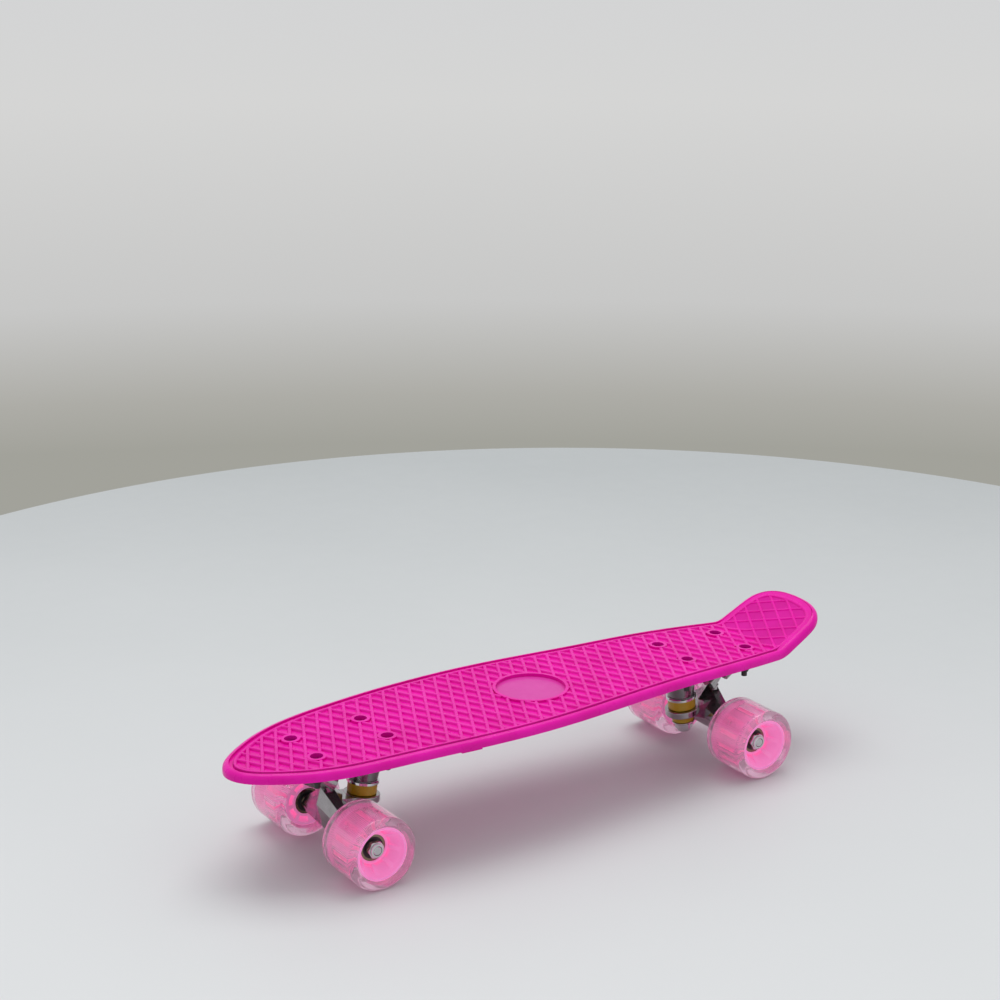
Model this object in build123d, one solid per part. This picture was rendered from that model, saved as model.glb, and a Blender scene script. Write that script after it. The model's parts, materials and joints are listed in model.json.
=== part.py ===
from build123d import *
import math
import os

os.makedirs("parts", exist_ok=True)

# A moulded plastic cruiser skateboard with a kicktail, two cast trucks and four clear
# wheels with light-up cores.  Millimetres.  +X points to the nose, +Y to the rider's
# left, +Z up.  The origin is on the ground, midway between the nose and tail tips.

# ---------------------------------------------------------------- driving dimensions
# deck
deck_length = 571.0           # nose tip to tail tip, in plan
deck_width = 145.0            # at the widest place
deck_top_z = 99.5             # rim of the deck, level stretch between the trucks
edge_height = 7.0             # height of the deck's outer edge
edge_round = 4.6              # rounding of the outer edge, on top
level_half = 142.0            # where the deck starts to droop, either side of the middle
droop_slope = 0.042           # droop beyond that, rise over run
droop_round = 2000.0          # radius that blends the droop
kick_from_middle = 234.5      # bend of the kicktail, from the middle of the wheelbase
kick_angle = 27.7             # degrees above level
kick_round = 22.0             # radius of the kicktail's bend
rim_width = 4.9               # rounded rim around the tread field
tread_depth = 2.0             # depth of the recessed tread field
floor_thickness = 3.2         # web of plastic under the tread field
medallion_diameter = 58.0     # blank round well in the middle of the deck
medallion_depth = 2.8         # depth of the well
medallion_forward = -1.5      # its centre from the middle of the wheelbase
medallion_border = 2.6        # width of the well's raised border
skirt_wall = 4.5              # wall of the underside's outer skirt
under_rib = 3.0               # thickness of the underside ribs
cross_bar_length = 18.0       # stiffening bar under the deck, along X
cross_bar_forward = 101.0     # its centre from the middle of the wheelbase
cross_bar_drop = 1.5          # how far it hangs under the skirt

# truck mounting
wheelbase = 378.7             # axle to axle
hole_group_half = 181.0       # centre of each hole group from the middle of the wheelbase
hole_spacing_x = 63.5         # hole pattern along the board
hole_spacing_y = 41.3         # hole pattern across the board
trucks_forward = 5.0          # middle of the wheelbase, ahead of the origin
mount_z = 85.0                # underside of the deck's truck pads
pad_length = 96.0
pad_width = 62.0
bolt_diameter = 5.0
bolt_clearance = 0.3          # radial, bolt in its hole
bolt_head_diameter = 9.4
bolt_head_height = 3.0
bolt_seat_z = 89.8            # where the bolt heads sit inside the deck
bolt_end_z = 69.8
head_clearance = 0.5          # radial, bolt head in its counterbore
boss_width = 2.6              # raised ring around each counterbore
nut_flats = 8.0
nut_height = 5.0

# truck
plate_length = 83.0
plate_width = 54.0
plate_thickness = 6.0
kingpin_diameter = 9.5
kingpin_tilt = 7.9            # degrees, foot of the kingpin leans outward
ring_x = -19.4                # hanger ring centre from the hole group's centre
ring_z = 42.8
ring_outer = 30.0
ring_bore = 13.0
ring_height = 6.0
bushing_diameter = 24.0
board_bushing_height = 10.6
road_bushing_diameter = 19.0
road_bushing_height = 6.8
cup_washer_diameter = 26.4
cup_washer_height = 2.6
cup_washer_thickness = 1.2
road_washer_diameter = 19.6
road_washer_height = 1.8
kingpin_head_flats = 14.3
kingpin_head_height = 6.0
kingpin_head_z = 83.0         # centre of the head's top face
kingpin_nut_flats = 14.3
kingpin_nut_height = 7.6
kingpin_end_past_nut = 0.6
boss_top_diameter = 31.0      # kingpin boss of the baseplate
boss_foot_diameter = 23.0
pivot_x = 25.0                # pivot centre from the hole group's centre
pivot_z = 72.0
stub_diameter = 10.0
stub_clearance = 0.05         # radial, pivot stub in its cup
cup_outer_diameter = 16.0
housing_diameter = 19.6
steer_range = 12.0            # degrees the hanger turns each way on its bushings
seat_gap = 0.05               # between the hanger ring and each bushing

# axle and wheels
wheel_diameter = 60.0
wheel_width = 45.0
wheel_outer_y = 80.5          # outer face of the wheel
wheel_lip = 3.6               # rounding of the tyre's edges
axle_x = 8.35                 # axle from the hole group's centre, outward
axle_diameter = 8.0
axle_length = 143.8
hanger_half = 38.3            # end of the hanger's barrel
barrel_diameter = 13.6
speed_washer_thickness = 0.8
speed_washer_diameter = 12.0
bearing_outer = 22.0
bearing_bore = 8.0
bearing_width = 7.0
ball_diameter = 3.969
ball_count = 7
ball_clearance = 0.06         # radial, ball in its groove
spacer_width = 10.9           # magnet spacer between the bearings
magnet_diameter = 15.0
axle_nut_flats = 13.0
axle_nut_height = 5.2
axle_nut_collar_diameter = 11.4
axle_nut_collar_height = 1.6
core_ring_diameter = 44.0     # outer ring of the plastic core, on the wheel's face
core_drum_diameter = 33.0
core_ring_inset = 2.0         # ring face below the tyre's outer face
pocket_count = 8
pocket_angle = 32.0           # degrees that each pocket spans
groove_count = 10
groove_width = 3.0
groove_depth = 1.2
led_count = 4
led_diameter = 3.0

# ---------------------------------------------------------------- worked out from them
wheel_radius = wheel_diameter / 2
edge_bottom_z = deck_top_z - edge_height
tread_floor_z = deck_top_z - tread_depth
hole_radius = bolt_diameter / 2 + bolt_clearance
counterbore_radius = bolt_head_diameter / 2 + head_clearance
inner_bearing_y = hanger_half + speed_washer_thickness
outer_bearing_y = inner_bearing_y + bearing_width + spacer_width
outer_bearing_face_y = outer_bearing_y + bearing_width
wheel_inner_y = wheel_outer_y - wheel_width
tilt = math.radians(kingpin_tilt)
kingpin_up = Vector(-math.sin(tilt), 0, math.cos(tilt))
ring_centre = Vector(ring_x, 0, ring_z)
pivot = Vector(pivot_x, 0, pivot_z)
steer_dir = (pivot - ring_centre).normalized()

# one side of the deck's outline: (share of the length from the tail, share of half the width)
OUTLINE = [
    (0.0018, 0.223), (0.0044, 0.317), (0.0096, 0.4205), (0.0184, 0.515), (0.0306, 0.581),
    (0.0482, 0.610), (0.0709, 0.6234), (0.1025, 0.645), (0.1357, 0.684), (0.1918, 0.739),
    (0.2478, 0.782), (0.2986, 0.812), (0.3687, 0.859), (0.4387, 0.921), (0.5088, 0.976),
    (0.5788, 1.0), (0.6489, 0.9876), (0.7189, 0.949), (0.7697, 0.909), (0.8257, 0.858),
    (0.8818, 0.766), (0.9291, 0.6055), (0.9676, 0.404), (0.9886, 0.246),
]


def mid_x(x):
    """A place measured from the middle of the wheelbase, in the part's frame."""
    return x + trucks_forward


def on_kingpin(z):
    """The point of the kingpin's axis at height z, in the truck's own frame."""
    return ring_centre + kingpin_up * ((z - ring_z) / math.cos(tilt))


def hexagon(flats, height):
    """A hexagonal prism from z = 0 up, its edges broken."""
    prism = extrude(RegularPolygon(flats / 2, 6, major_radius=False), height)
    turned = Cylinder(flats * 0.545, height, align=(Align.CENTER, Align.CENTER, Align.MIN))
    return prism & chamfer(turned.edges().filter_by(GeomType.CIRCLE), height * 0.12)


def upright(radius, z_low, z_high, x=0.0, y=0.0):
    """A vertical cylinder between two heights."""
    return Pos(x, y, (z_low + z_high) / 2) * Cylinder(radius, z_high - z_low)


def turned_on_axle(points):
    """A solid turned about the wheel's axle, from (y, radius) points."""
    face = make_face(Polyline(*[(y, r) for y, r in points], close=True))
    solid = revolve(face, Axis.X)
    return Rot(0, 0, 90) * solid


# ---------------------------------------------------------------- deck
def top_line(drop, overrun):
    """Side view of the deck's top, moved down square to itself, as one smooth chain."""
    kick, droop = math.radians(kick_angle), math.atan(droop_slope)
    kick_z = deck_top_z - (kick_from_middle - level_half) * droop_slope
    corners = [(mid_x(-kick_from_middle), kick_z), (mid_x(-level_half), deck_top_z),
               (mid_x(level_half), deck_top_z)]
    slopes = [-kick, droop, 0, -droop]
    moved = []
    for (x, z), before, after in zip(corners, slopes, slopes[1:]):
        middle, reach = (before + after) / 2, drop / math.cos((after - before) / 2)
        moved.append((x + reach * math.sin(middle), z - reach * math.cos(middle)))
    tail_x, nose_x = -deck_length / 2 - overrun, deck_length / 2 + overrun
    tail = (tail_x, moved[0][1] + (moved[0][0] - tail_x) * math.tan(kick))
    nose = (nose_x, moved[-1][1] - (nose_x - moved[-1][0]) * droop_slope)
    return FilletPolyline(tail, *moved, nose,
                          radius=[kick_round + drop, droop_round - drop, droop_round - drop])


def deck_band(drop_top, drop_bottom):
    """Everything between two copies of the top line, across the whole width."""
    overrun = 12.0
    upper = Plane.XZ * top_line(drop_top, overrun)
    lower = Plane.XZ * top_line(drop_bottom, overrun)
    ends = [Line(upper @ t, lower @ t) for t in (0, 1)]
    face = make_face(Curve() + [upper, lower] + ends)
    return extrude(face, deck_width, both=True)


def outline_face(inset=0.0):
    """The deck's plan outline, or one inset from it."""
    side = [(-deck_length / 2 + u * deck_length, v * deck_width / 2) for u, v in OUTLINE]
    other_side = [(x, -y) for x, y in reversed(side)]
    curve = Spline((-deck_length / 2, 0), *side, (deck_length / 2, 0), *other_side, periodic=True)
    if inset:
        stations = 64
        moved = []
        for i in range(stations):
            tangent = curve % (i / stations)
            moved.append(curve @ (i / stations) + Vector(tangent.Y, -tangent.X, 0) * inset)
        curve = Spline(*moved, periodic=True)
    return make_face(curve)


def outline_prism(inset, x_low=-400.0, x_high=400.0):
    """The inset outline as a tall prism, cut off square at two stations."""
    low, high = 40.0, 180.0
    prism = Pos(0, 0, low) * extrude(outline_face(inset), high - low)
    return prism & Pos((x_low + x_high) / 2, 0, (low + high) / 2) * Box(x_high - x_low, 400, 200)


def hole_places():
    """The eight truck-bolt holes."""
    return [
        (mid_x(side * hole_group_half + sx * hole_spacing_x / 2), sy * hole_spacing_y / 2)
        for side in (1, -1) for sx in (1, -1) for sy in (1, -1)
    ]


def medallion_disc(grow, z_low, z_high):
    """A disc on the medallion's axis, its radius grown or shrunk."""
    return upright(medallion_diameter / 2 + grow, z_low, z_high, mid_x(medallion_forward))


def deck():
    body = (deck_band(0, edge_height) & outline_prism(0)).solids()[0]
    tops = [f for f in body.faces() if f.normal_at().Z > 0.5]
    rim = [e for f in tops for e in f.edges() if e.geom_type != GeomType.LINE]
    body = fillet(rim, edge_round)

    bend = mid_x(-kick_from_middle)
    recess = outline_prism(rim_width) & deck_band(-10, tread_depth)
    boss_radius = counterbore_radius + boss_width
    for x, y in hole_places():
        recess -= upright(boss_radius, 60, 180, x, y)
    recess -= medallion_disc(medallion_border, 60, 180)
    body -= recess

    # underside: hollow behind the skirt, then ribs, truck pads and the stiffening bar
    floor_drop = tread_depth + floor_thickness
    hollow = outline_prism(skirt_wall, bend + 6, 400) & deck_band(floor_drop, 60)
    body -= hollow
    web = outline_prism(skirt_wall - 1, bend + 4, 400) & deck_band(floor_drop - 1, edge_height)
    body += web & underside_ribs()
    well_z = deck_top_z - medallion_depth
    lower_parts = truck_pads() + spine() + medallion_disc(4, well_z - 3, deck_top_z)
    body += lower_parts & deck_band(floor_drop - 1, 60)
    body -= medallion_disc(0, well_z, 180)
    bar = Pos(mid_x(cross_bar_forward), 0, 0) * Box(cross_bar_length, 400, 400)
    body += bar & outline_prism(1.0) & deck_band(floor_drop - 1, edge_height + cross_bar_drop)

    for x, y in hole_places():
        body -= upright(hole_radius, 60, 180, x, y)
        body -= upright(counterbore_radius, bolt_seat_z, 180, x, y)
    return body


def underside_ribs():
    """Thin ribs that stiffen the deck's floor, inside the skirt."""
    ribs = []
    for y in (-44, 0, 44):
        ribs.append(Pos(0, y, 90) * Box(deck_length, under_rib, 60))
    station = -200
    while station <= 240:
        ribs.append(Pos(mid_x(station), 0, 90) * Box(under_rib, deck_width, 60))
        station += 40
    return Part() + ribs


def truck_pads():
    """Solid pads that the trucks bolt up to."""
    height = deck_top_z - mount_z
    pads = []
    for side in (1, -1):
        pad = Box(pad_length, pad_width, height, align=(Align.CENTER, Align.CENTER, Align.MIN))
        pad = fillet(pad.edges().filter_by(Axis.Z), 8)
        pads.append(Pos(mid_x(side * hole_group_half), 0, mount_z) * pad)
    return Part() + pads


def spine():
    """Two deep ribs and their ties, joining the pads under the middle of the deck."""
    length = 2 * hole_group_half - pad_length + 8
    z = (mount_z + deck_top_z) / 2 + 1
    height = deck_top_z - mount_z - 2
    pieces = [Pos(mid_x(0), y, z) * Box(length, 4, height) for y in (-24, 24)]
    for x in (-100, -60, -20, 20, 60, 100):
        pieces.append(Pos(mid_x(x), 0, z) * Box(under_rib, 50, height))
    return Part() + pieces


# ---------------------------------------------------------------- truck, in its own frame
# The truck's frame has its origin on the ground under the hole group's centre, and its
# +X points outward: to the nose for the front truck, to the tail for the rear one.
head_top = on_kingpin(kingpin_head_z)
bushing_top = ring_centre + kingpin_up * (ring_height / 2 + seat_gap + board_bushing_height)
boss_seat = bushing_top + kingpin_up * cup_washer_thickness
road_seat = ring_centre - kingpin_up * (ring_height / 2 + seat_gap + road_bushing_height)
nut_seat = road_seat - kingpin_up * road_washer_height


def along(start, direction, solid):
    """Stand a solid that is built from z = 0 up on a point, along a direction."""
    x_dir = (1, 0, 0) if abs(direction.Y) > 0.9 else (0, 1, 0)
    return Plane(origin=start, x_dir=x_dir, z_dir=direction).location * solid


def rod(radius, length, top_radius=None):
    """A round bar, or a cone, from z = 0 up."""
    low = (Align.CENTER, Align.CENTER, Align.MIN)
    if top_radius is None:
        return Cylinder(radius, length, align=low)
    return Cone(radius, top_radius, length, align=low)


def slab(points, half_width):
    """A plate in the truck's middle plane, from (x, z) points."""
    wire = Polyline(*[(x, z) for x, z in points], close=True)
    return extrude(Plane.XZ * make_face(wire), half_width, both=True)


def baseplate():
    low = (Align.CENTER, Align.CENTER, Align.MAX)
    flange = Box(plate_length, plate_width, plate_thickness, align=low)
    flange = fillet(flange.edges().filter_by(Axis.Z), 7)
    flange = fillet(flange.faces().sort_by(Axis.Z)[0].edges(), 1.5)
    body = Pos(0, 0, mount_z) * flange
    boss_length = (mount_z - boss_seat.Z) / math.cos(tilt)
    body += along(boss_seat, kingpin_up,
                  rod(boss_foot_diameter / 2, boss_length, boss_top_diameter / 2))
    housing_back = 5.0
    housing_length = 15.5
    housing_start = pivot - steer_dir * housing_back
    body += along(housing_start, steer_dir, rod(housing_diameter / 2, housing_length))
    body += slab([(pivot_x - 7, mount_z - 1), (pivot_x - 5.5, pivot_z - 1.5),
                  (pivot_x + 9, pivot_z - 1), (pivot_x + 15, mount_z - 1)], housing_diameter / 2)
    body += slab([(boss_seat.X - 2, mount_z - 1), (boss_seat.X - 2, boss_seat.Z + 10),
                  (0, pivot_z + 2), (pivot_x - 5, pivot_z + 5), (pivot_x, mount_z - 1)], 3.2)
    body &= Pos(0, 0, mount_z) * Box(400, 400, 200, align=low)
    cavity_length = housing_back + 8.5
    body -= along(housing_start - steer_dir * 3, steer_dir,
                  rod(cup_outer_diameter / 2, cavity_length + 3))
    body -= along(boss_seat - kingpin_up, kingpin_up, rod(kingpin_diameter / 2, 60))
    body -= along(head_top - kingpin_up * kingpin_head_height, kingpin_up,
                  extrude(RegularPolygon(kingpin_head_flats / 2 + 0.1, 6, major_radius=False), 20))
    for sx in (1, -1):
        for sy in (1, -1):
            body -= upright(hole_radius, 60, 100, sx * hole_spacing_x / 2, sy * hole_spacing_y / 2)
    return body


def pivot_cup():
    back, depth, end = 5.0, 6.2, 8.5
    body = along(pivot - steer_dir * back, steer_dir, rod(cup_outer_diameter / 2, back + end))
    bore = stub_diameter / 2 + stub_clearance
    return body - along(pivot - steer_dir * (back + 1), steer_dir, rod(bore, back + depth + 1))


def kingpin():
    foot = nut_seat - kingpin_up * (kingpin_nut_height + kingpin_end_past_nut)
    head_base = head_top - kingpin_up * kingpin_head_height
    length = (head_base - foot).length
    shank = chamfer(rod(kingpin_diameter / 2, length).edges().filter_by(GeomType.CIRCLE)
                    .sort_by(Axis.Z)[0], 0.8)
    head = along(head_base, kingpin_up, hexagon(kingpin_head_flats, kingpin_head_height))
    return along(foot, kingpin_up, shank) + head


def kingpin_nut():
    nut = hexagon(kingpin_nut_flats, kingpin_nut_height * 0.72)
    collar = Pos(0, 0, kingpin_nut_height * 0.7) * rod(kingpin_nut_flats * 0.47,
                                                      kingpin_nut_height * 0.3,
                                                      kingpin_nut_flats * 0.42)
    body = nut + collar - rod(kingpin_diameter / 2, kingpin_nut_height)
    return along(nut_seat, kingpin_up * -1, body)


def cup_washer():
    """Shallow cup that holds the top of the board-side bushing."""
    body = rod(cup_washer_diameter / 2, cup_washer_height)
    body = chamfer(body.edges().filter_by(GeomType.CIRCLE).sort_by(Axis.Z)[-1], 0.7)
    inside = cup_washer_height - cup_washer_thickness
    body -= rod(bushing_diameter / 2 + 0.15, inside)
    body -= rod(kingpin_diameter / 2 + 0.1, cup_washer_height)
    return along(boss_seat - kingpin_up * cup_washer_height, kingpin_up, body)


def road_washer():
    body = rod(road_washer_diameter / 2, road_washer_height)
    body = chamfer(body.edges().filter_by(GeomType.CIRCLE).sort_by(Axis.Z)[0], 0.6)
    body -= rod(kingpin_diameter / 2 + 0.1, road_washer_height)
    return along(nut_seat, kingpin_up, body)


def bushing(diameter, height, waist):
    """A soft barrel with slightly rounded ends."""
    body = rod(diameter / 2, height)
    body = fillet(body.edges().filter_by(GeomType.CIRCLE), waist)
    return body - rod(kingpin_diameter / 2 + 0.1, height)


def board_side_bushing():
    start = ring_centre + kingpin_up * (ring_height / 2 + seat_gap)
    return along(start, kingpin_up, bushing(bushing_diameter, board_bushing_height, 1.0))


def road_side_bushing():
    return along(road_seat, kingpin_up,
                 bushing(road_bushing_diameter, road_bushing_height, 1.4))


def hanger():
    # the cast body: a tall faceted middle that tapers to a small barrel at each wheel
    middle = [(8, 59.5), (17.5, 58.5), (21.5, 45), (15.5, 23.5), (5.5, 22.2), (-4, 36), (-3, 47)]
    axle_z = wheel_radius
    angles = [108, 62, 12, -48, -118, -172, 150]
    radius = barrel_diameter / 2 + 0.4
    tip = [(axle_x + radius * math.cos(math.radians(a)), axle_z + radius * math.sin(math.radians(a)))
           for a in angles]
    faces = []
    for y, outline in ((hanger_half - 3, tip), (0, middle), (3 - hanger_half, tip)):
        face = make_face(Polyline(*outline, close=True))
        faces.append(Plane((0, y, 0), x_dir=(1, 0, 0), z_dir=(0, -1, 0)) * face)
    body = loft(faces[:2], ruled=True) + loft(faces[1:], ruled=True)
    barrel = Cylinder(barrel_diameter / 2, 2 * hanger_half, rotation=(90, 0, 0))
    body += Pos(axle_x, 0, axle_z) * barrel
    # the yoke ring on the kingpin and the arms that carry it
    ring = fillet(rod(ring_outer / 2, ring_height).edges().filter_by(GeomType.CIRCLE), 0.8)
    body += along(ring_centre - kingpin_up * (ring_height / 2), kingpin_up, ring)
    arm = slab([(ring_x + 2, ring_z - 3.1), (6, 30), (9, 50), (ring_x + 3, ring_z + 2.6)], 10.5)
    body += arm
    # the neck that rises to the pivot, with a web that sweeps up from the ring
    body += slab([(-7, 45), (0, 46.8), (6, 51), (11, 58), (16, 60), (8, 40), (-6, 40)], 5.5)
    neck_start = pivot - steer_dir * 21
    body += along(neck_start, steer_dir, rod(8.2, 13, stub_diameter / 2))
    body += along(pivot - steer_dir * 8.5, steer_dir, rod(stub_diameter / 2, 9.5))
    body += Pos(*(pivot + steer_dir)) * Sphere(stub_diameter / 2)
    # room for the bushings, the kingpin and the axle
    clear = bushing_diameter / 2 + 1.6
    body -= along(ring_centre + kingpin_up * (ring_height / 2), kingpin_up, rod(clear, 20))
    below = road_bushing_diameter / 2 + 1.6
    body -= along(ring_centre - kingpin_up * (ring_height / 2), kingpin_up * -1, rod(below, 24))
    body -= along(ring_centre - kingpin_up * 12, kingpin_up, rod(ring_bore / 2, 24))
    axle_bore = Cylinder(axle_diameter / 2, 200, rotation=(90, 0, 0))
    return body - Pos(axle_x, 0, axle_z) * axle_bore


def axle():
    bar = Cylinder(axle_diameter / 2, axle_length, rotation=(90, 0, 0))
    bar = chamfer(bar.edges().filter_by(GeomType.CIRCLE), 0.9)
    return Pos(axle_x, 0, wheel_radius) * bar


def on_axle(y, solid):
    """Place a piece built from z = 0 up on the axle, growing outward on both sides."""
    centre = Vector(axle_x, 0, wheel_radius)
    return [along(centre + Vector(0, s * y, 0), Vector(0, s, 0), solid).solids()[0]
            for s in (1, -1)]


def axle_nuts():
    nut = hexagon(axle_nut_flats, axle_nut_height)
    collar = rod(axle_nut_collar_diameter / 2, axle_nut_height + axle_nut_collar_height)
    collar = fillet(collar.edges().filter_by(GeomType.CIRCLE).sort_by(Axis.Z)[-1], 0.7)
    body = nut + collar - rod(axle_diameter / 2, 20)
    return on_axle(outer_bearing_face_y + speed_washer_thickness, body)


def speed_washers():
    body = rod(speed_washer_diameter / 2, speed_washer_thickness)
    body -= rod(axle_diameter / 2 + 0.05, speed_washer_thickness)
    return on_axle(hanger_half, body) + on_axle(outer_bearing_face_y, body)


def deck_bolts():
    bolts = []
    for sx in (1, -1):
        for sy in (1, -1):
            x, y = sx * hole_spacing_x / 2, sy * hole_spacing_y / 2
            shank = upright(bolt_diameter / 2, bolt_end_z, bolt_seat_z + 0.5, x, y)
            head = rod(bolt_head_diameter / 2, bolt_head_height)
            head = fillet(head.edges().filter_by(GeomType.CIRCLE).sort_by(Axis.Z)[-1], 1.2)
            head -= Pos(0, 0, bolt_head_height - 1.8) * extrude(
                RegularPolygon(2.0, 6, major_radius=False), 4)
            bolts.append((shank + Pos(x, y, bolt_seat_z) * head).solids()[0])
    return bolts


def deck_nuts():
    nuts = []
    top = mount_z - plate_thickness
    body = hexagon(nut_flats, nut_height * 0.75) + rod(nut_flats * 0.44, nut_height)
    body -= rod(bolt_diameter / 2, nut_height)
    for sx in (1, -1):
        for sy in (1, -1):
            at = Vector(sx * hole_spacing_x / 2, sy * hole_spacing_y / 2, top)
            nuts.append(along(at, Vector(0, 0, -1), body).solids()[0])
    return nuts


# ---------------------------------------------------------------- wheel, on the left side
# A wheel is built about its own axle through the origin, its outer face to +Y.
CORE_OUTSIDE = [
    (wheel_inner_y + 2.0, 20.5), (wheel_inner_y + 3.6, 20.5),
    (wheel_inner_y + 7.0, core_drum_diameter / 2),
    (wheel_outer_y - 13.0, core_drum_diameter / 2),
    (wheel_outer_y - core_ring_inset - 1.6, core_ring_diameter / 2),
    (wheel_outer_y - core_ring_inset, core_ring_diameter / 2),
]
bearing_fit = bearing_outer / 2
sleeve_radius = bearing_fit + 2.2


def core():
    ring_y = wheel_outer_y - core_ring_inset
    inside = [
        (ring_y, core_ring_diameter / 2 - 2.0), (ring_y - 3.5, core_ring_diameter / 2 - 3.4),
        (outer_bearing_face_y + 2.2, sleeve_radius), (outer_bearing_face_y + 0.6, sleeve_radius),
        (outer_bearing_face_y + 0.6, bearing_fit), (inner_bearing_y - 0.4, bearing_fit),
        (inner_bearing_y - 0.4, sleeve_radius), (wheel_inner_y + 2.0, 18.6),
    ]
    body = turned_on_axle(CORE_OUTSIDE + inside)
    pocket = [(60, sleeve_radius), (60, 14.8), (66, 15.0), (71.5, 17.2), (77.5, 19.4),
              (90, 19.4), (90, sleeve_radius)]
    inner_pocket = [(30, sleeve_radius), (30, 17.6), (38.6, 17.6), (43.5, 14.8),
                    (46, 14.8), (46, sleeve_radius)]
    for outline in (pocket, inner_pocket):
        face = make_face(Polyline(*outline, close=True))
        wedge = Rot(0, 0, 90) * revolve(face, Axis.X, revolution_arc=pocket_angle)
        for i in range(pocket_count):
            body -= Rot(0, i * 360 / pocket_count, 0) * wedge
    # shallow grooves around the drum, and windows for the lamps
    groove_y = (wheel_inner_y + wheel_outer_y) / 2 - 3
    for i in range(groove_count):
        bar = Box(groove_width, 20, 2 * groove_depth)
        body -= Rot(0, i * 360 / groove_count, 0) * Pos(0, groove_y, core_drum_diameter / 2) * bar
    lamp_y = inner_bearing_y + bearing_width + spacer_width / 2
    for i in range(led_count):
        window = Cylinder(led_diameter / 2 + 0.05, 12, align=(Align.CENTER, Align.CENTER, Align.MIN))
        body -= Rot(0, (i + 0.5) * 360 / led_count, 0) * Pos(0, lamp_y, 8) * window
    return body


def tyre(core_solid):
    """Clear urethane cast around the core, filling its grooves."""
    inner = [(y, r) for y, r in CORE_OUTSIDE]
    blank = turned_on_axle(
        [(wheel_inner_y, 22.4), (wheel_inner_y, wheel_radius), (wheel_outer_y, wheel_radius),
         (wheel_outer_y, 24.2), (wheel_outer_y - core_ring_inset, core_ring_diameter / 2)]
        + [(wheel_outer_y - core_ring_inset - 1.6, core_ring_diameter / 2)]
        + [(wheel_outer_y - 13.0, core_drum_diameter / 2 - groove_depth)]
        + [(wheel_inner_y + 7.0, core_drum_diameter / 2 - groove_depth)]
        + [(inner[1][0], 20.5), (inner[0][0], 20.5)])
    tread = [e for e in blank.edges().filter_by(GeomType.CIRCLE) if e.radius > wheel_radius - 0.01]
    wall = wheel_radius - (core_ring_diameter / 2 + 0.4)
    blank = fillet(tread, min(wheel_lip, wall - 0.4))
    solids = (blank - core_solid).solids().sort_by(SortBy.VOLUME)
    return solids[-1]


def led_module():
    """Ring-shaped lamp board with its coil, and the lamps that look out of the core."""
    gap = 0.2
    y0, y1 = inner_bearing_y + bearing_width + gap, outer_bearing_y - gap
    body = turned_on_axle([(y0, magnet_diameter / 2 + 0.8), (y0, bearing_fit - 0.1),
                           (y1, bearing_fit - 0.1), (y1, magnet_diameter / 2 + 0.8)])
    lamp_y = (y0 + y1) / 2
    lamp_length = core_drum_diameter / 2 - groove_depth - 0.8 - 9.5
    for i in range(led_count):
        lamp = rod(led_diameter / 2, lamp_length)
        lamp = fillet(lamp.edges().filter_by(GeomType.CIRCLE).sort_by(Axis.Z)[-1], 1.2)
        body += Rot(0, (i + 0.5) * 360 / led_count, 0) * Pos(0, lamp_y, 9.5) * lamp
    return body


def bearing_ys():
    return [inner_bearing_y + bearing_width / 2, outer_bearing_y + bearing_width / 2]


ball_radius = ball_diameter / 2
ball_pitch = (bearing_outer + bearing_bore) / 4


def race(inner_radius, outer_radius):
    """One plain race with its ball groove, centred on y = 0."""
    half = bearing_width / 2
    body = turned_on_axle([(-half, inner_radius), (-half, outer_radius),
                           (half, outer_radius), (half, inner_radius)])
    groove = Torus(ball_pitch, ball_radius + ball_clearance, rotation=(90, 0, 0))
    return body - groove


def bearing_inner_rings():
    body = race(bearing_bore / 2, ball_pitch - ball_radius + 0.55)
    return [(Pos(0, y, 0) * body).solids()[0] for y in bearing_ys()]


def bearing_outer_rings():
    body = race(ball_pitch + ball_radius - 0.55, bearing_outer / 2)
    return [(Pos(0, y, 0) * body).solids()[0] for y in bearing_ys()]


def bearing_shields():
    """Thin covers let into both faces of each bearing, clear of the inner ring."""
    inner = ball_pitch - ball_radius + 0.75
    outer = ball_pitch + ball_radius - 0.55
    shields = []
    for y in bearing_ys():
        for side in (1, -1):
            near = y + side * (bearing_width / 2 - 0.6)
            far = y + side * (bearing_width / 2 - 0.2)
            low, high = min(near, far), max(near, far)
            shields.append(turned_on_axle([(low, inner), (low, outer), (high, outer),
                                           (high, inner)]).solids()[0])
    return shields


def bearing_balls():
    balls = []
    for y in bearing_ys():
        for i in range(ball_count):
            a = 2 * math.pi * i / ball_count
            at = (ball_pitch * math.cos(a), y, ball_pitch * math.sin(a))
            balls.append(Pos(*at) * Sphere(ball_radius))
    return balls


def magnet_spacer():
    y0, y1 = inner_bearing_y + bearing_width, outer_bearing_y
    land = ball_pitch - ball_radius + 0.4
    return turned_on_axle([(y0, axle_diameter / 2 + 0.05), (y0, land), (y0 + 1.2, land),
                           (y0 + 1.2, magnet_diameter / 2), (y1 - 1.2, magnet_diameter / 2),
                           (y1 - 1.2, land), (y1, land), (y1, axle_diameter / 2 + 0.05)])


# ---------------------------------------------------------------- write the nodes
def write_group(node, pieces, place):
    moved = [place * piece for piece in pieces]
    shape = Compound(children=moved) if len(moved) > 1 else moved[0]
    shape.label = node
    export_step(shape, f"parts/{node}.step")


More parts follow.
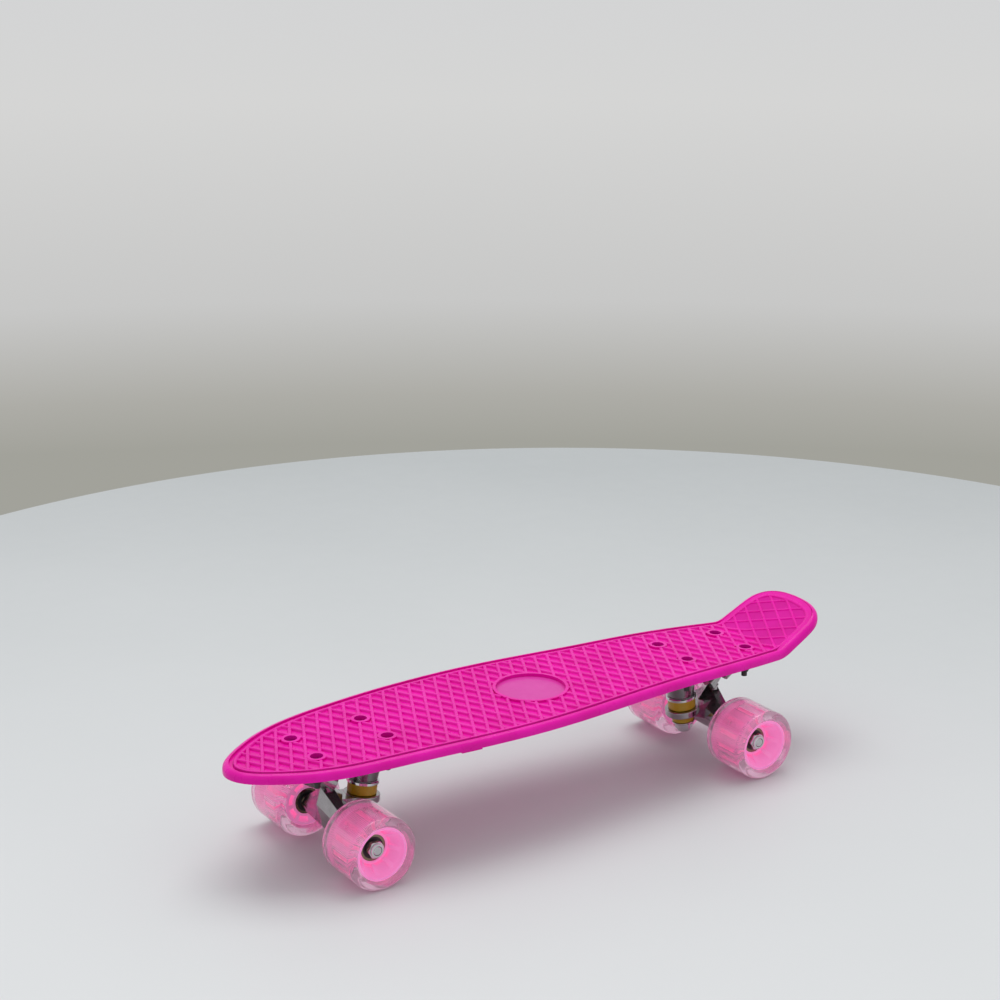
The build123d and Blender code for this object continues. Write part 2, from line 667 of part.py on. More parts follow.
TRUCK_NODES = {
    "baseplate": baseplate, "pivot_cup": pivot_cup, "kingpin": kingpin,
    "kingpin_nut": kingpin_nut, "cup_washer": cup_washer, "road_washer": road_washer,
    "board_side_bushing": board_side_bushing, "road_side_bushing": road_side_bushing,
    "hanger": hanger, "axle": axle, "axle_nuts": axle_nuts, "speed_washers": speed_washers,
    "deck_bolts": deck_bolts, "deck_nuts": deck_nuts,
}
core_solid = core()
WHEEL_NODES = {
    "tyre": lambda: tyre(core_solid), "core": lambda: core_solid, "led_module": led_module,
    "bearing_outer_rings": bearing_outer_rings, "bearing_inner_rings": bearing_inner_rings,
    "bearing_balls": bearing_balls, "bearing_shields": bearing_shields,
}


def as_list(shape):
    return shape if isinstance(shape, list) else [shape.solids()[0]]


write_group("deck", as_list(deck()), Location())
truck_places = {
    "front": Pos(mid_x(hole_group_half), 0, 0),
    "rear": Pos(mid_x(-hole_group_half), 0, 0) * Rot(0, 0, 180),
}
wheel_places = {"left": Location(), "right": Rot(0, 0, 180)}
for name, build in TRUCK_NODES.items():
    pieces = as_list(build())
    for end, place in truck_places.items():
        write_group(f"{end}_{name}", pieces, place)
for name, build in WHEEL_NODES.items():
    pieces = as_list(build())
    for end in truck_places:
        sign = 1 if end == "front" else -1
        axle_at = Pos(mid_x(sign * wheelbase / 2), 0, wheel_radius)
        for side, turn in wheel_places.items():
            write_group(f"{end}_{side}_{name}", pieces, axle_at * turn)
spacer = as_list(magnet_spacer())
for end in truck_places:
    sign = 1 if end == "front" else -1
    axle_at = Pos(mid_x(sign * wheelbase / 2), 0, wheel_radius)
    both = [turn * spacer[0] for turn in wheel_places.values()]
    write_group(f"{end}_magnet_spacers", both, axle_at)
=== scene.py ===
import json
import math

import bmesh
import bpy
import numpy as np
from mathutils import Matrix, Vector
from mathutils.bvhtree import BVHTree


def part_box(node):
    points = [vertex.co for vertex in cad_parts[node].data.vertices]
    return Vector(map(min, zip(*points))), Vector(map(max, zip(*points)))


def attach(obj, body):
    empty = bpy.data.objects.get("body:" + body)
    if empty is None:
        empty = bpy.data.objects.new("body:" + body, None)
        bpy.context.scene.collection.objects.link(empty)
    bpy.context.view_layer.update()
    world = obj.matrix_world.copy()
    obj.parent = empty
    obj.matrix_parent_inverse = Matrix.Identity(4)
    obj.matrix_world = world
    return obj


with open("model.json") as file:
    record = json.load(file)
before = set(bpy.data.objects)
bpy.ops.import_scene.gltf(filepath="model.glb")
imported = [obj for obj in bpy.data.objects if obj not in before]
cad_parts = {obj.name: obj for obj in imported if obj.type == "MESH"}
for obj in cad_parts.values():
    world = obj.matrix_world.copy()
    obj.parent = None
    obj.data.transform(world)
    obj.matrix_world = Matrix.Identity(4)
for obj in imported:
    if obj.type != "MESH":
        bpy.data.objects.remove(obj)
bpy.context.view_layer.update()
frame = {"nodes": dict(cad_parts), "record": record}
nodes = frame["nodes"]


def centre(node):
    low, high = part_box(node)
    return (low + high) / 2


front_axle, rear_axle = centre("front_axle"), centre("rear_axle")
MIDDLE = (front_axle.x + rear_axle.x) / 2        # x of the middle of the wheelbase

# ------------------------------------------------------------------ camera
YAW, PITCH, ROLL = 0.58950, 0.30412, -0.001576    # radians
CAMERA_FORWARD, CAMERA_LEFT, CAMERA_UP = 1.02505, 1.48893, 0.82820   # from the wheelbase's middle
LENS, SENSOR = 84.74, 36.0                       # millimetres
camera_data = bpy.data.cameras.new("camera")
camera_data.sensor_width = SENSOR
camera_data.lens = LENS
camera_data.clip_start, camera_data.clip_end = 0.05, 50.0
camera = bpy.data.objects.new("camera", camera_data)
bpy.context.scene.collection.objects.link(camera)
forward = Vector((-math.sin(YAW) * math.cos(PITCH), -math.cos(YAW) * math.cos(PITCH),
                  -math.sin(PITCH)))
right = forward.cross(Vector((0, 0, 1))).normalized()
down = forward.cross(right)
cos_roll, sin_roll = math.cos(ROLL), math.sin(ROLL)
right, down = cos_roll * right + sin_roll * down, cos_roll * down - sin_roll * right
turn = Matrix((right, -down, -forward)).transposed().to_4x4()
camera_place = Matrix.Translation((MIDDLE + CAMERA_FORWARD, CAMERA_LEFT, CAMERA_UP))
camera.matrix_world = camera_place @ turn
bpy.context.scene.camera = camera


# ------------------------------------------------------------------ material helpers
def new_material(name):
    m = bpy.data.materials.new(name)
    m.use_nodes = True
    tree = m.node_tree
    shader = tree.nodes["Principled BSDF"]
    return m, tree, shader


def link(tree, a, b):
    tree.links.new(a, b)


def add(tree, kind, **values):
    node = tree.nodes.new(kind)
    for key, value in values.items():
        if key.startswith("in_"):
            node.inputs[int(key[3:])].default_value = value
        else:
            setattr(node, key, value)
    return node


def object_coords(tree):
    return add(tree, "ShaderNodeTexCoord").outputs["Object"]


def noise(tree, scale, detail=4.0):
    n = add(tree, "ShaderNodeTexNoise")
    n.inputs["Scale"].default_value = scale
    n.inputs["Detail"].default_value = detail
    n.inputs["Roughness"].default_value = 0.55
    link(tree, object_coords(tree), n.inputs["Vector"])
    return n.outputs["Fac"]


def remap(tree, value, low, high, out_low, out_high):
    """Value stretched linearly from low..high to out_low..out_high, and clamped there."""
    n = add(tree, "ShaderNodeMapRange")
    for i, v in enumerate((low, high, out_low, out_high)):
        n.inputs[i + 1].default_value = v
    link(tree, value, n.inputs[0])
    return n.outputs[0]


def two_colours(tree, value, a, b):
    """A colour that runs from a to b as value goes from 0 to 1."""
    ramp = add(tree, "ShaderNodeValToRGB")
    ramp.color_ramp.elements[0].color = (*a, 1)
    ramp.color_ramp.elements[1].color = (*b, 1)
    link(tree, value, ramp.inputs[0])
    return ramp.outputs[0]


def bump(tree, value, strength, distance, shader, after=None):
    """Adds a bump to the shader's normal, on top of an earlier bump's output if given."""
    n = add(tree, "ShaderNodeBump")
    n.inputs["Strength"].default_value = strength
    n.inputs["Distance"].default_value = distance
    link(tree, value, n.inputs["Height"])
    if after is not None:
        link(tree, after, n.inputs["Normal"])
    link(tree, n.outputs[0], shader.inputs["Normal"])
    return n.outputs[0]


# ------------------------------------------------------------------ materials
def moulded_plastic(name, deep, light, rough_low, rough_high, shine=0.12):
    """Glossy injection-moulded plastic with faint flow marks and an orange-peel skin."""
    m, t, s = new_material(name)
    flow = noise(t, 38.0, 3.0)
    link(t, two_colours(t, remap(t, flow, 0.35, 0.65, 0, 1), deep, light),
         s.inputs["Base Color"])
    link(t, remap(t, noise(t, 240.0, 4.0), 0.35, 0.65, rough_low, rough_high),
         s.inputs["Roughness"])
    peel = bump(t, noise(t, 900.0, 2.0), 0.10, 0.0002, s)
    bump(t, noise(t, 60.0, 2.0), 0.06, 0.0008, s, peel)
    s.inputs["IOR"].default_value = 1.49
    s.inputs["Specular IOR Level"].default_value = shine
    s.inputs["Coat Weight"].default_value = shine
    s.inputs["Coat Roughness"].default_value = 0.07
    return m


def metal(name, colour, rough_low, rough_high, cast=0.0):
    """Bare metal, mottled and finely scratched; cast is the strength of a sand-cast skin."""
    m, t, s = new_material(name)
    dark = tuple(c * 0.82 for c in colour)
    tone = remap(t, noise(t, 120.0, 5.0), 0.3, 0.7, 0, 1)
    link(t, two_colours(t, tone, dark, colour), s.inputs["Base Color"])
    s.inputs["Metallic"].default_value = 1.0
    link(t, remap(t, noise(t, 300.0, 5.0), 0.3, 0.7, rough_low, rough_high),
         s.inputs["Roughness"])
    last = bump(t, noise(t, 1600.0, 2.0), 0.04, 0.0002, s)
    if cast:
        bump(t, noise(t, 420.0, 3.0), cast, 0.0006, s, last)
    return m


deck_pink = moulded_plastic(
    "deck_plastic", (0.73, 0.0012, 0.330), (0.81, 0.0040, 0.395), 0.26, 0.38)
# a darker pink that paints the shade in the groove beside the border rib
groove_painted_shade_pink = moulded_plastic(
    "groove_painted_shade_plastic", (0.50, 0.0008, 0.215), (0.57, 0.0012, 0.255), 0.36, 0.48, 0.06)
# a darker pink for the kicktail's diamond floors: painted shade on the recessed floor
kick_floor_painted_shade_pink = moulded_plastic(
    "kicktail_floor_painted_shade_plastic", (0.60, 0.0010, 0.275), (0.67, 0.0026, 0.325), 0.34, 0.46, 0.08)
medallion_pink = moulded_plastic(
    "medallion_plastic", (0.62, 0.030, 0.335), (0.66, 0.038, 0.365), 0.36, 0.46, 0.22)
cast_grey = metal("cast_metal", (0.27, 0.26, 0.265), 0.16, 0.28, cast=0.22)
polished = metal("polished_metal", (0.40, 0.375, 0.385), 0.09, 0.20, cast=0.10)
chrome = metal("chrome_steel", (0.66, 0.655, 0.67), 0.05, 0.14)
zinc = metal("axle_steel", (0.58, 0.575, 0.59), 0.12, 0.24)
dark_steel = metal("dark_steel", (0.10, 0.10, 0.105), 0.22, 0.34)
magnet = metal("magnet_steel", (0.42, 0.42, 0.44), 0.22, 0.34)
bearing = metal("bearing_steel", (0.26, 0.20, 0.14), 0.14, 0.26)
ball = metal("ball_steel", (0.80, 0.80, 0.82), 0.04, 0.10)


def black_bolt():
    """Black oxide steel."""
    m, t, s = new_material("black_steel")
    link(t, two_colours(t, noise(t, 500.0), (0.008, 0.008, 0.009), (0.02, 0.02, 0.021)),
         s.inputs["Base Color"])
    link(t, remap(t, noise(t, 300.0), 0.3, 0.7, 0.34, 0.5), s.inputs["Roughness"])
    bump(t, noise(t, 1500.0), 0.1, 0.0002, s)
    return m


def black_plastic(name, tone=0.02):
    """Black plastic or rubber with a fine matt skin."""
    m, t, s = new_material(name)
    link(t, two_colours(t, noise(t, 220.0), (tone,) * 3, (tone * 1.7,) * 3),
         s.inputs["Base Color"])
    link(t, remap(t, noise(t, 400.0), 0.3, 0.7, 0.42, 0.6), s.inputs["Roughness"])
    bump(t, noise(t, 1200.0), 0.12, 0.0002, s)
    return m


def amber_urethane():
    """Soft amber urethane that lets a little light in."""
    m, t, s = new_material("bushing_urethane")
    link(t, two_colours(t, noise(t, 90.0, 3.0), (0.38, 0.225, 0.005), (0.50, 0.32, 0.010)),
         s.inputs["Base Color"])
    link(t, remap(t, noise(t, 300.0), 0.3, 0.7, 0.26, 0.38), s.inputs["Roughness"])
    s.inputs["Subsurface Weight"].default_value = 0.35
    s.inputs["Subsurface Radius"].default_value = (0.006, 0.003, 0.0006)
    s.inputs["Subsurface Scale"].default_value = 0.6
    bump(t, noise(t, 700.0, 2.0), 0.08, 0.0002, s)
    return m


def clear_urethane():
    """Clear cast urethane with a faint pink cast and a slight haze, as the tyres' bodies."""
    m, t, s = new_material("clear_urethane")
    link(t, two_colours(t, noise(t, 40.0, 3.0), (1.0, 0.60, 0.80), (1.0, 0.70, 0.86)),
         s.inputs["Base Color"])
    link(t, remap(t, noise(t, 260.0, 4.0), 0.3, 0.7, 0.03, 0.09), s.inputs["Roughness"])
    s.inputs["Transmission Weight"].default_value = 0.86
    s.inputs["Alpha"].default_value = 0.90
    s.inputs["IOR"].default_value = 1.40
    s.inputs["Coat Weight"].default_value = 0.5
    s.inputs["Coat Roughness"].default_value = 0.04
    bump(t, noise(t, 90.0, 3.0), 0.03, 0.0006, s)
    return m


def core_pink():
    """Pink translucent plastic; the weak emission stands for light that passes through it."""
    m, t, s = new_material("core_plastic")
    link(t, two_colours(t, noise(t, 60.0, 3.0), (0.90, 0.20, 0.53), (0.94, 0.28, 0.61)),
         s.inputs["Base Color"])
    link(t, remap(t, noise(t, 300.0), 0.3, 0.7, 0.26, 0.38), s.inputs["Roughness"])
    s.inputs["Subsurface Weight"].default_value = 0.25
    s.inputs["Subsurface Radius"].default_value = (0.010, 0.0035, 0.006)
    s.inputs["Subsurface Scale"].default_value = 0.8
    s.inputs["Emission Color"].default_value = (1.0, 0.34, 0.66, 1)
    s.inputs["Emission Strength"].default_value = 0.24
    bump(t, noise(t, 800.0, 2.0), 0.06, 0.0002, s)
    return m


def lamp_white():
    """The unlit lamp module: off-white, with a slight sheen."""
    m, t, s = new_material("lamp_module")
    link(t, two_colours(t, noise(t, 120.0), (0.74, 0.70, 0.64), (0.86, 0.83, 0.78)),
         s.inputs["Base Color"])
    link(t, remap(t, noise(t, 300.0), 0.3, 0.7, 0.25, 0.4), s.inputs["Roughness"])
    return m


MATERIALS = {
    "deck_plastic": deck_pink,
    "cast_grey": cast_grey,
    "polished_metal": polished,
    "chrome_steel": chrome,
    "axle_steel": zinc,
    "dark_steel": dark_steel,
    "black_steel": black_bolt(),
    "magnet_steel": magnet,
    "bearing_steel": bearing,
    "ball_steel": ball,
    "bearing_seal": black_plastic("bearing_seal_rubber", 0.012),
    "black_plastic": black_plastic("pivot_cup_plastic"),
    "bushing_urethane": amber_urethane(),
    "clear_urethane": clear_urethane(),
    "core_plastic": core_pink(),
    "lamp_module": lamp_white(),
}
for part in frame["record"]["subparts"]:
    for slot in nodes[part["node"]].material_slots:
        slot.material = MATERIALS[part["material_slot"]]
for n in nodes.values():
    if not n.material_slots:
        n.data.materials.append(deck_pink)


# ------------------------------------------------------------------ the deck's tread
# Metres.  x is measured from the wheelbase's middle.  The profile is the solid deck's own:
# level between the trucks, a wide rounding, a straight droop, and the kicktail's bend.
TOP = 0.0995                         # the rim of the deck, on the level stretch
LEVEL = 0.142                        # half the level stretch
DROOP = 0.042                        # fall of the straight droop, rise over run
DROOP_ROUND = 2.0                    # radius between the level and the droop
DROOP_BLEND = DROOP_ROUND * DROOP / 2    # half the length of that rounding
KICK_X, KICK = -0.2345, math.radians(27.7)
KICK_ROUND = 0.022                   # radius of the kicktail's bend
KICK_STEP = 0.004                    # the kicktail's own tread starts this far ahead of the bend

TREAD_DEPTH = 0.0020
FLOOR_DEPTHS = (0.0015, 0.00245)     # a hit this deep under the rim is the field's floor
RIM_DEPTH = 0.0012                   # a hit deeper than this, outside, is the outer edge
WALK = 0.0005                        # step of the walk that looks for the field's outline
ROWS_ALONG, ROWS_ACROSS = 79.7, 41.3     # rib rows per metre along and across the deck
ROW_STEP = 0.00075                   # distance between a rib's points
BORDER_INSET = 0.0048                # the border rib's line, inside the field's outline
KICK_INSET = 0.0007                  # how much closer to the outline it is on the kicktail
RIB_HALF, RIB_HEIGHT = 0.00105, 0.00186
BORDER_HEIGHT = 0.00189
ROOT = -0.0002                       # every piece starts this far under the floor

DECK = nodes["deck"]
deck_mesh = bmesh.new()
deck_mesh.from_mesh(DECK.data)
deck_tree = BVHTree.FromBMesh(deck_mesh)
deck_mesh.free()


def top_z(x):
    """Height of the deck's top at x from the wheelbase's middle."""
    bend_z = TOP - (abs(KICK_X) - LEVEL) * DROOP
    reach = KICK_ROUND * math.tan((KICK + math.atan(DROOP)) / 2)
    if x < KICK_X - reach:
        return bend_z + (KICK_X - x) * math.tan(KICK)
    if x < KICK_X + reach:
        t = (KICK_X + reach - x) / (2 * reach)
        start, end = bend_z + reach * DROOP, bend_z + reach * math.tan(KICK)
        return (1 - t) ** 2 * start + 2 * t * (1 - t) * bend_z + t * t * end
    past = abs(x) - LEVEL
    if abs(past) > DROOP_BLEND:
        return TOP - max(0.0, past) * DROOP
    return TOP - (past + DROOP_BLEND) ** 2 / (4 * DROOP_BLEND) * DROOP


def slope(x):
    """Tilt of the deck's top at x, in radians, positive where it falls towards the nose."""
    return math.atan((top_z(x - 0.0005) - top_z(x + 0.0005)) / 0.001)


def floor_hit(x, y):
    """The deck's surface under (x, y), and how deep it lies below the rim, square to the top."""
    hit = deck_tree.ray_cast(Vector((MIDDLE + x, y, 0.3)), Vector((0, 0, -1)))[0]
    if hit is None:
        return None, 1.0
    return hit.z, (top_z(x) - hit.z) * math.cos(slope(x))


def in_field(x, y):
    """True on the floor of the recessed tread field."""
    depth = floor_hit(x, y)[1]
    return FLOOR_DEPTHS[0] < depth < FLOOR_DEPTHS[1]


def field_edge():
    """Closed outline of the tread field, found by walking inwards from outside the deck.

    The rays stand square to the deck's long sides and fan out round its two ends."""
    tail, nose, outside = -0.250, 0.240, 0.085
    places = [k / 1000 for k in range(round(tail * 1000), round(nose * 1000) + 1, 4)]
    rays = [(x, 90) for x in places]
    rays += [(nose, a) for a in range(87, -88, -3)]
    rays += [(k / 1000, -90) for k in range(round(nose * 1000), round(tail * 1000) - 1, -4)]
    rays += [(tail, a) for a in range(-93, -268, -3)]
    edge = []
    for ox, degrees in rays:
        dx, dy = math.cos(math.radians(degrees)), math.sin(math.radians(degrees))
        r = outside
        while r > 0 and floor_hit(ox + dx * r, dy * r)[1] > RIM_DEPTH:
            r -= WALK                              # up the rounded edge to the rim
        while r > 0 and not in_field(ox + dx * r, dy * r):
            r -= WALK                              # over the rim and down to the floor
        inner, outer = r, r + WALK
        for _ in range(8):
            middle = (inner + outer) / 2
            if in_field(ox + dx * middle, dy * middle):
                inner = middle
            else:
                outer = middle
        edge.append((ox + dx * inner, dy * inner))
    return np.array(edge)


EDGE = field_edge()


def edge_distance(points):
    """How far each (x, y) is from the tread field's outline."""
    a, b = EDGE, np.roll(EDGE, -1, axis=0)
    run = b - a
    length = np.maximum((run ** 2).sum(1), 1e-12)
    out = []
    for p in points:
        t = np.clip(((p - a) * run).sum(1) / length, 0, 1)
        out.append(np.sqrt(((a + run * t[:, None] - p) ** 2).sum(1)).min())
    return np.array(out)


def inward(offset):
    """The field's outline moved inwards by offset(x) at each of its points."""
    ahead, behind = np.roll(EDGE, -1, axis=0), np.roll(EDGE, 1, axis=0)
    run = ahead - behind
    run /= np.linalg.norm(run, axis=1)[:, None]
    normal = np.stack([run[:, 1], -run[:, 0]], axis=1)
    moved = EDGE + normal * np.array([offset(p[0]) for p in EDGE])[:, None]
    for _ in range(3):
        moved = (np.roll(moved, 1, axis=0) + 2 * moved + np.roll(moved, -1, axis=0)) / 4
    return moved


def on_kick(x):
    """0 on the main deck and 1 on the kicktail, with a soft step between."""
    t = min(1.0, max(0.0, (KICK_X + KICK_STEP - x) / 0.010))
    return t * t * (3 - 2 * t)


def lifted(x, y, height):
    """A point at height above the tread field's floor, square to it."""
    tilt = slope(x)
    z = top_z(x) - TREAD_DEPTH / math.cos(tilt)
    return Vector((MIDDLE + x + math.sin(tilt) * height, y, z + math.cos(tilt) * height))


def skin(bm, rings, closed=False):
    """Joins rings of equally many vertices into a closed solid, capped unless it is a loop."""
    count = len(rings[0])
    for i in range(len(rings) if closed else len(rings) - 1):
        a, b = rings[i], rings[(i + 1) % len(rings)]
        for k in range(count):
            bm.faces.new((a[k], a[(k + 1) % count], b[(k + 1) % count], b[k]))
    if not closed:
        bm.faces.new(rings[0])
        bm.faces.new(list(reversed(rings[-1])))


def sweep(bm, path, profile, closed=False):
    """Sweeps profile(x) -> [(sideways, height)] along a path of (x, y) on the field."""
    rings = []
    for i, (x, y) in enumerate(path):
        before = path[i - 1] if closed or i else path[i]
        after = path[(i + 1) % len(path)] if closed or i + 1 < len(path) else path[i]
        dx, dy = after[0] - before[0], after[1] - before[1]
        norm = math.hypot(dx, dy) or 1.0
        sx, sy = -dy / norm, dx / norm
        rings.append([bm.verts.new(lifted(x + sx * w, y + sy * w, h)) for w, h in profile(x)])
    skin(bm, rings, closed)


def rib_profile(half_top, height, lower=0.0):
    """Rounded, slightly tapering rib; it starts a little under the floor it stands on."""
    h = height - lower
    flank = [(half_top + 0.00085, ROOT), (half_top + 0.00055, 0.0003),
             (half_top + 0.00025, h - 0.0005), (half_top - 0.0001, h - 0.00014),
             (half_top - 0.0005, h)]
    return [(-w, z) for w, z in flank] + flank[::-1]


def simplified(points, keep=2e-5):
    """Drops the points of a run that lie on the straight between their neighbours, in height."""
    heights = [lifted(x, y, 0).z for x, y in points]
    out, last = [0], 0
    for i in range(2, len(points)):
        for k in range(last + 1, i):
            t = (k - last) / (i - last)
            if abs(heights[last] * (1 - t) + heights[i] * t - heights[k]) > keep:
                out.append(i - 1)
                last = i - 1
                break
    return [points[k] for k in out] + [points[-1]]


def piece(name, bm, material, body):
    """Turns the finished bmesh into a named object that rides on a body."""
    bmesh.ops.recalc_face_normals(bm, faces=bm.faces)
    mesh = bpy.data.meshes.new(name)
    bm.to_mesh(mesh)
    bm.free()
    obj = bpy.data.objects.new(name, mesh)
    bpy.context.scene.collection.objects.link(obj)
    mesh.materials.append(material)
    mesh.shade_smooth()
    mesh.set_sharp_from_angle(angle=math.radians(40))
    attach(obj, body)
    return obj


def rows(sign, phase, lower, name):
    """One family of parallel ribs across the whole field, broken at the holes and the well."""
    bm = bmesh.new()
    direction = np.array([ROWS_ACROSS, -sign * ROWS_ALONG])
    direction /= np.linalg.norm(direction)
    for n in range(-32, 33):
        start = np.array([(n + phase) / ROWS_ALONG, 0.0])
        line = [start + direction * ROW_STEP * k for k in range(-120, 121)]
        line = [p for p in line if -0.295 < p[0] < 0.285 and abs(p[1]) < 0.075]
        if not line:
            continue
        far = edge_distance(line)
        good = [far[i] > BORDER_INSET and in_field(*p) for i, p in enumerate(line)]
        run = []
        for p, ok in list(zip(line, good)) + [(None, False)]:
            if ok:
                run.append(tuple(p))
                continue
            if len(run) > 3:
                first = tuple(run[0] - direction * ROW_STEP)
                last = tuple(run[-1] + direction * ROW_STEP)
                sweep(bm, simplified([first] + run + [last]),
                      lambda x: rib_profile(RIB_HALF - 0.00035 * on_kick(x),
                                            RIB_HEIGHT - 0.0002 * on_kick(x), lower))
            run = []
    return piece(name, bm, deck_pink, "board")


rows(1, -0.483, 0.0, "tread_ribs_a")
rows(-1, -0.16, 0.00003, "tread_ribs_b")

border = bmesh.new()
sweep(border, [tuple(p) for p in inward(lambda x: BORDER_INSET - KICK_INSET * on_kick(x))],
      lambda x: rib_profile(RIB_HALF, BORDER_HEIGHT - 0.0001 * on_kick(x)), closed=True)
border = piece("tread_border", border, deck_pink, "board")
# the second material, a darker pink, is painted shade on the border rib's side facing the groove
border.data.materials.append(groove_painted_shade_pink)
for face in border.data.polygons:
    if face.index % 10 in (6, 7, 8):       # the side that looks into the groove gets the darker pink: painted shade
        face.material_index = 1

# on the kicktail the groove outside the border rib is almost filled
shelf = bmesh.new()
groove_outside = inward(lambda x: -0.0003)
groove_inside = inward(lambda x: BORDER_INSET - KICK_INSET)
band = [i for i in range(len(EDGE)) if EDGE[i][0] < KICK_X + KICK_STEP]
rings = []
for i in band:
    (ax, ay), (bx, by) = groove_outside[i], groove_inside[i]
    h = 0.0002 + 0.00145 * on_kick(EDGE[i][0])
    rings.append([shelf.verts.new(lifted(*q)) for q in
                  ((ax, ay, ROOT), (ax, ay, h), (bx, by, h), (bx, by, ROOT))])
# the band is open across the deck, so its list starts after the widest jump
gap = max(range(len(band)), key=lambda k: abs(EDGE[band[k]][1] - EDGE[band[k - 1]][1]))
skin(shelf, rings[gap:] + rings[:gap])
piece("kicktail_shelf", shelf, deck_pink, "board")

# and the floor of its diamonds is shallower than on the main deck
FIELD_RINGS = 28
field = bmesh.new()
field_start, field_end = KICK_X + 0.006, EDGE[:, 0].min() + 0.0004
rings = []
for k in range(FIELD_RINGS + 1):
    x = field_start + (field_end - field_start) * k / FIELD_RINGS
    half = 0.0
    for (ax, ay), (bx, by) in zip(np.roll(EDGE, 1, axis=0), EDGE):
        if (ax - x) * (bx - x) <= 0 and ax != bx:
            half = max(half, abs(ay + (by - ay) * (x - ax) / (bx - ax)))
    h = -0.0001 + 0.0009 * on_kick(x)
    rings.append([field.verts.new(lifted(x, y, z)) for y, z in
                  ((-half, ROOT), (-half, h), (half, h), (half, ROOT))])
skin(field, rings)
# the darker pink on this floor is painted shade, not a different plastic
piece("kicktail_field", field, kick_floor_painted_shade_pink, "board")


def circle(bm, x, y, z, radius, count):
    """A ring of vertices, anticlockwise from above."""
    turns = [2 * math.pi * k / count for k in range(count)]
    return [bm.verts.new((x + radius * math.cos(t), y + radius * math.sin(t), z))
            for t in turns]


# ------------------------------------------------------------------ the blank round plate
WELL_X = -0.0015                     # the well's centre from the wheelbase's middle
PLATE_SIDES = 96
PLATE = ((0.0100, 0.00023), (0.0200, 0.00021), (0.0260, 0.00018), (0.0283, 0.00012),
         (0.0289, 0.00002), (0.0289, ROOT))     # radius, and height above the well's floor
plate = bmesh.new()
well_floor = floor_hit(WELL_X, 0.0)[0]
crown = plate.verts.new((MIDDLE + WELL_X, 0, well_floor + 0.00024))
rings = [circle(plate, MIDDLE + WELL_X, 0, well_floor + height, radius, PLATE_SIDES)
         for radius, height in PLATE]
for k in range(PLATE_SIDES):
    plate.faces.new((crown, rings[0][k], rings[0][(k + 1) % PLATE_SIDES]))
for a, b in zip(rings, rings[1:]):
    for k in range(PLATE_SIDES):
        plate.faces.new((a[k], b[k], b[(k + 1) % PLATE_SIDES], a[(k + 1) % PLATE_SIDES]))
plate.faces.new(list(reversed(rings[-1])))
piece("medallion_plate", plate, medallion_pink, "board")

# ------------------------------------------------------------------ stage and light
# a pale tone that is graded across the table top, palest towards +X and +Y: a painted light
# falloff, with a faint random mottle on top
floor_material, ft, fs = new_material("floor")
place = add(ft, "ShaderNodeSeparateXYZ")
link(ft, object_coords(ft), place.inputs[0])
across = add(ft, "ShaderNodeMath", operation="MULTIPLY_ADD", in_1=0.75)
link(ft, place.outputs["X"], across.inputs[0])
link(ft, place.outputs["Y"], across.inputs[2])
# the straight gradient is painted light falloff; the noise adds a random mottle
painted_falloff_and_mottle = add(ft, "ShaderNodeMath", operation="MULTIPLY_ADD", in_1=0.25)
link(ft, noise(ft, 3.0, 2.0), painted_falloff_and_mottle.inputs[0])
link(ft, across.outputs[0], painted_falloff_and_mottle.inputs[2])
FLOOR_DARK, FLOOR_PALE = (0.450, 0.470, 0.475), (0.725, 0.735, 0.740)
link(ft, two_colours(ft, remap(ft, painted_falloff_and_mottle.outputs[0], -1.1, 0.8, 0, 1), FLOOR_DARK, FLOOR_PALE),
     fs.inputs["Base Color"])
link(ft, remap(ft, noise(ft, 40.0, 3.0), 0.3, 0.7, 0.38, 0.48), fs.inputs["Roughness"])
fs.inputs["Specular IOR Level"].default_value = 0.1


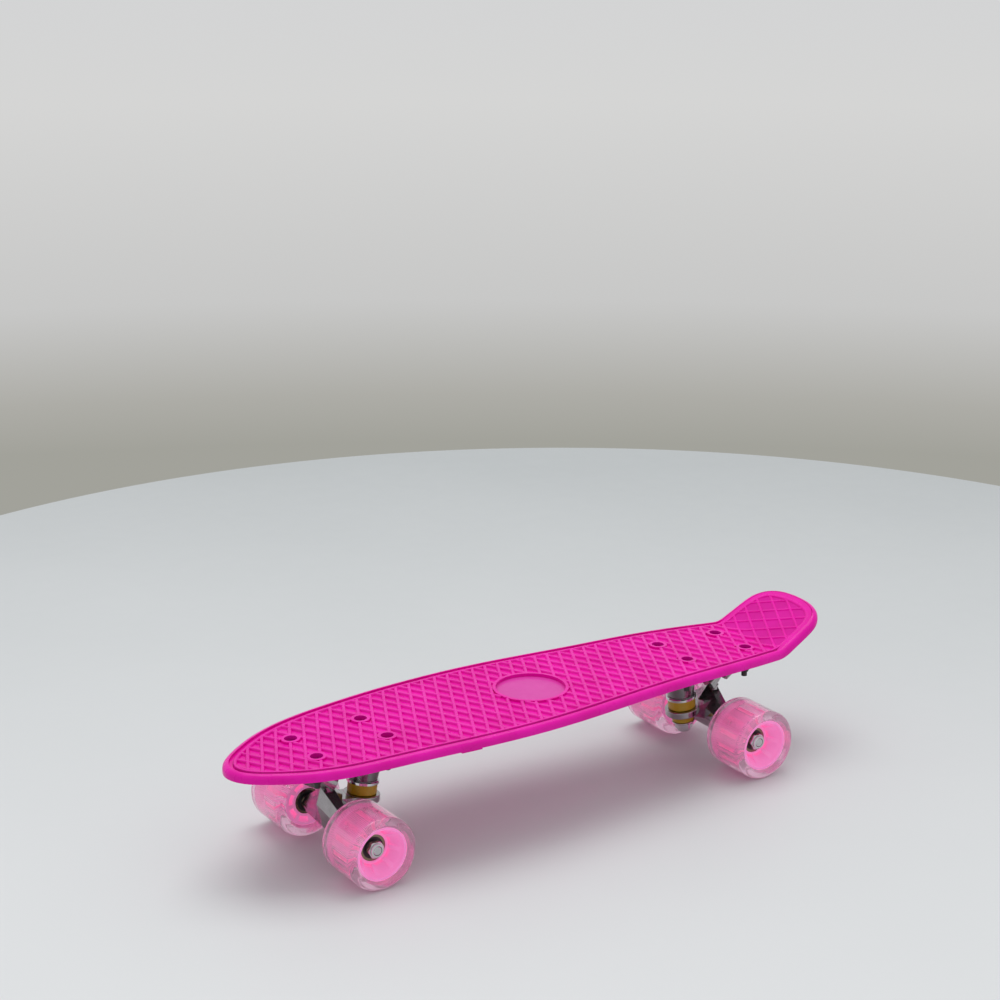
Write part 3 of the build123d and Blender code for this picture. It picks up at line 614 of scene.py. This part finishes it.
def table(name, x, y, radius, material):
    """A round table top: a plain pale disc with a small rounded edge, its top at z = 0."""
    bm = bmesh.new()
    sides = 256
    rings = [circle(bm, x, y, z, r, sides) for r, z in
             ((radius - 0.004, 0.0), (radius - 0.0012, -0.0012), (radius, -0.004),
              (radius, -0.022))]
    bm.faces.new(rings[0])
    for a, b in zip(rings, rings[1:]):
        for k in range(sides):
            bm.faces.new((a[k], b[k], b[(k + 1) % sides], a[(k + 1) % sides]))
    bm.faces.new(list(reversed(rings[-1])))
    mesh = bpy.data.meshes.new(name)
    bm.to_mesh(mesh)
    bm.free()
    obj = bpy.data.objects.new(name, mesh)
    bpy.context.scene.collection.objects.link(obj)
    mesh.materials.append(material)


table("floor", MIDDLE - 0.131, -0.091, 0.908, floor_material)


def area_light(name, at, towards, size, power):
    data = bpy.data.lights.new(name, "AREA")
    data.shape = "RECTANGLE"
    data.size, data.size_y = size
    data.energy = power
    obj = bpy.data.objects.new(name, data)
    obj.location = at
    obj.rotation_euler = (Vector(towards) - Vector(at)).to_track_quat("-Z", "Y").to_euler()
    bpy.context.scene.collection.objects.link(obj)


# the world stands for the wall behind: darkest below the horizon, brighter upwards
world = bpy.data.worlds.new("studio")
bpy.context.scene.world = world
world.use_nodes = True
wt = world.node_tree
height = add(wt, "ShaderNodeSeparateXYZ")
link(wt, add(wt, "ShaderNodeTexCoord").outputs["Generated"], height.inputs[0])
ramp = add(wt, "ShaderNodeValToRGB")
link(wt, remap(wt, height.outputs["Z"], -0.35, 0.65, 0.0, 1.0), ramp.inputs[0])
FIRST, LAST = (0.074, (0.362, 0.360, 0.325)), (0.50, (0.72, 0.73, 0.74))
BETWEEN = ((0.094, (0.42, 0.415, 0.385)), (0.132, (0.575, 0.575, 0.570)),
           (0.214, (0.665, 0.665, 0.66)), (0.33, (0.64, 0.65, 0.67)))
for stop, (at, tone) in zip(list(ramp.color_ramp.elements), (FIRST, LAST)):
    stop.position = at
    stop.color = (*tone, 1)
for at, tone in BETWEEN:
    ramp.color_ramp.elements.new(at).color = (*tone, 1)
link(wt, ramp.outputs[0], wt.nodes["Background"].inputs[0])
wt.nodes["Background"].inputs[1].default_value = 1.0
area_light("key", (-0.3, -0.55, 2.3), (0, 0, 0.05), (2.0, 1.6), 27)

# ------------------------------------------------------------------ finish
bpy.context.scene.view_settings.view_transform = "Standard"
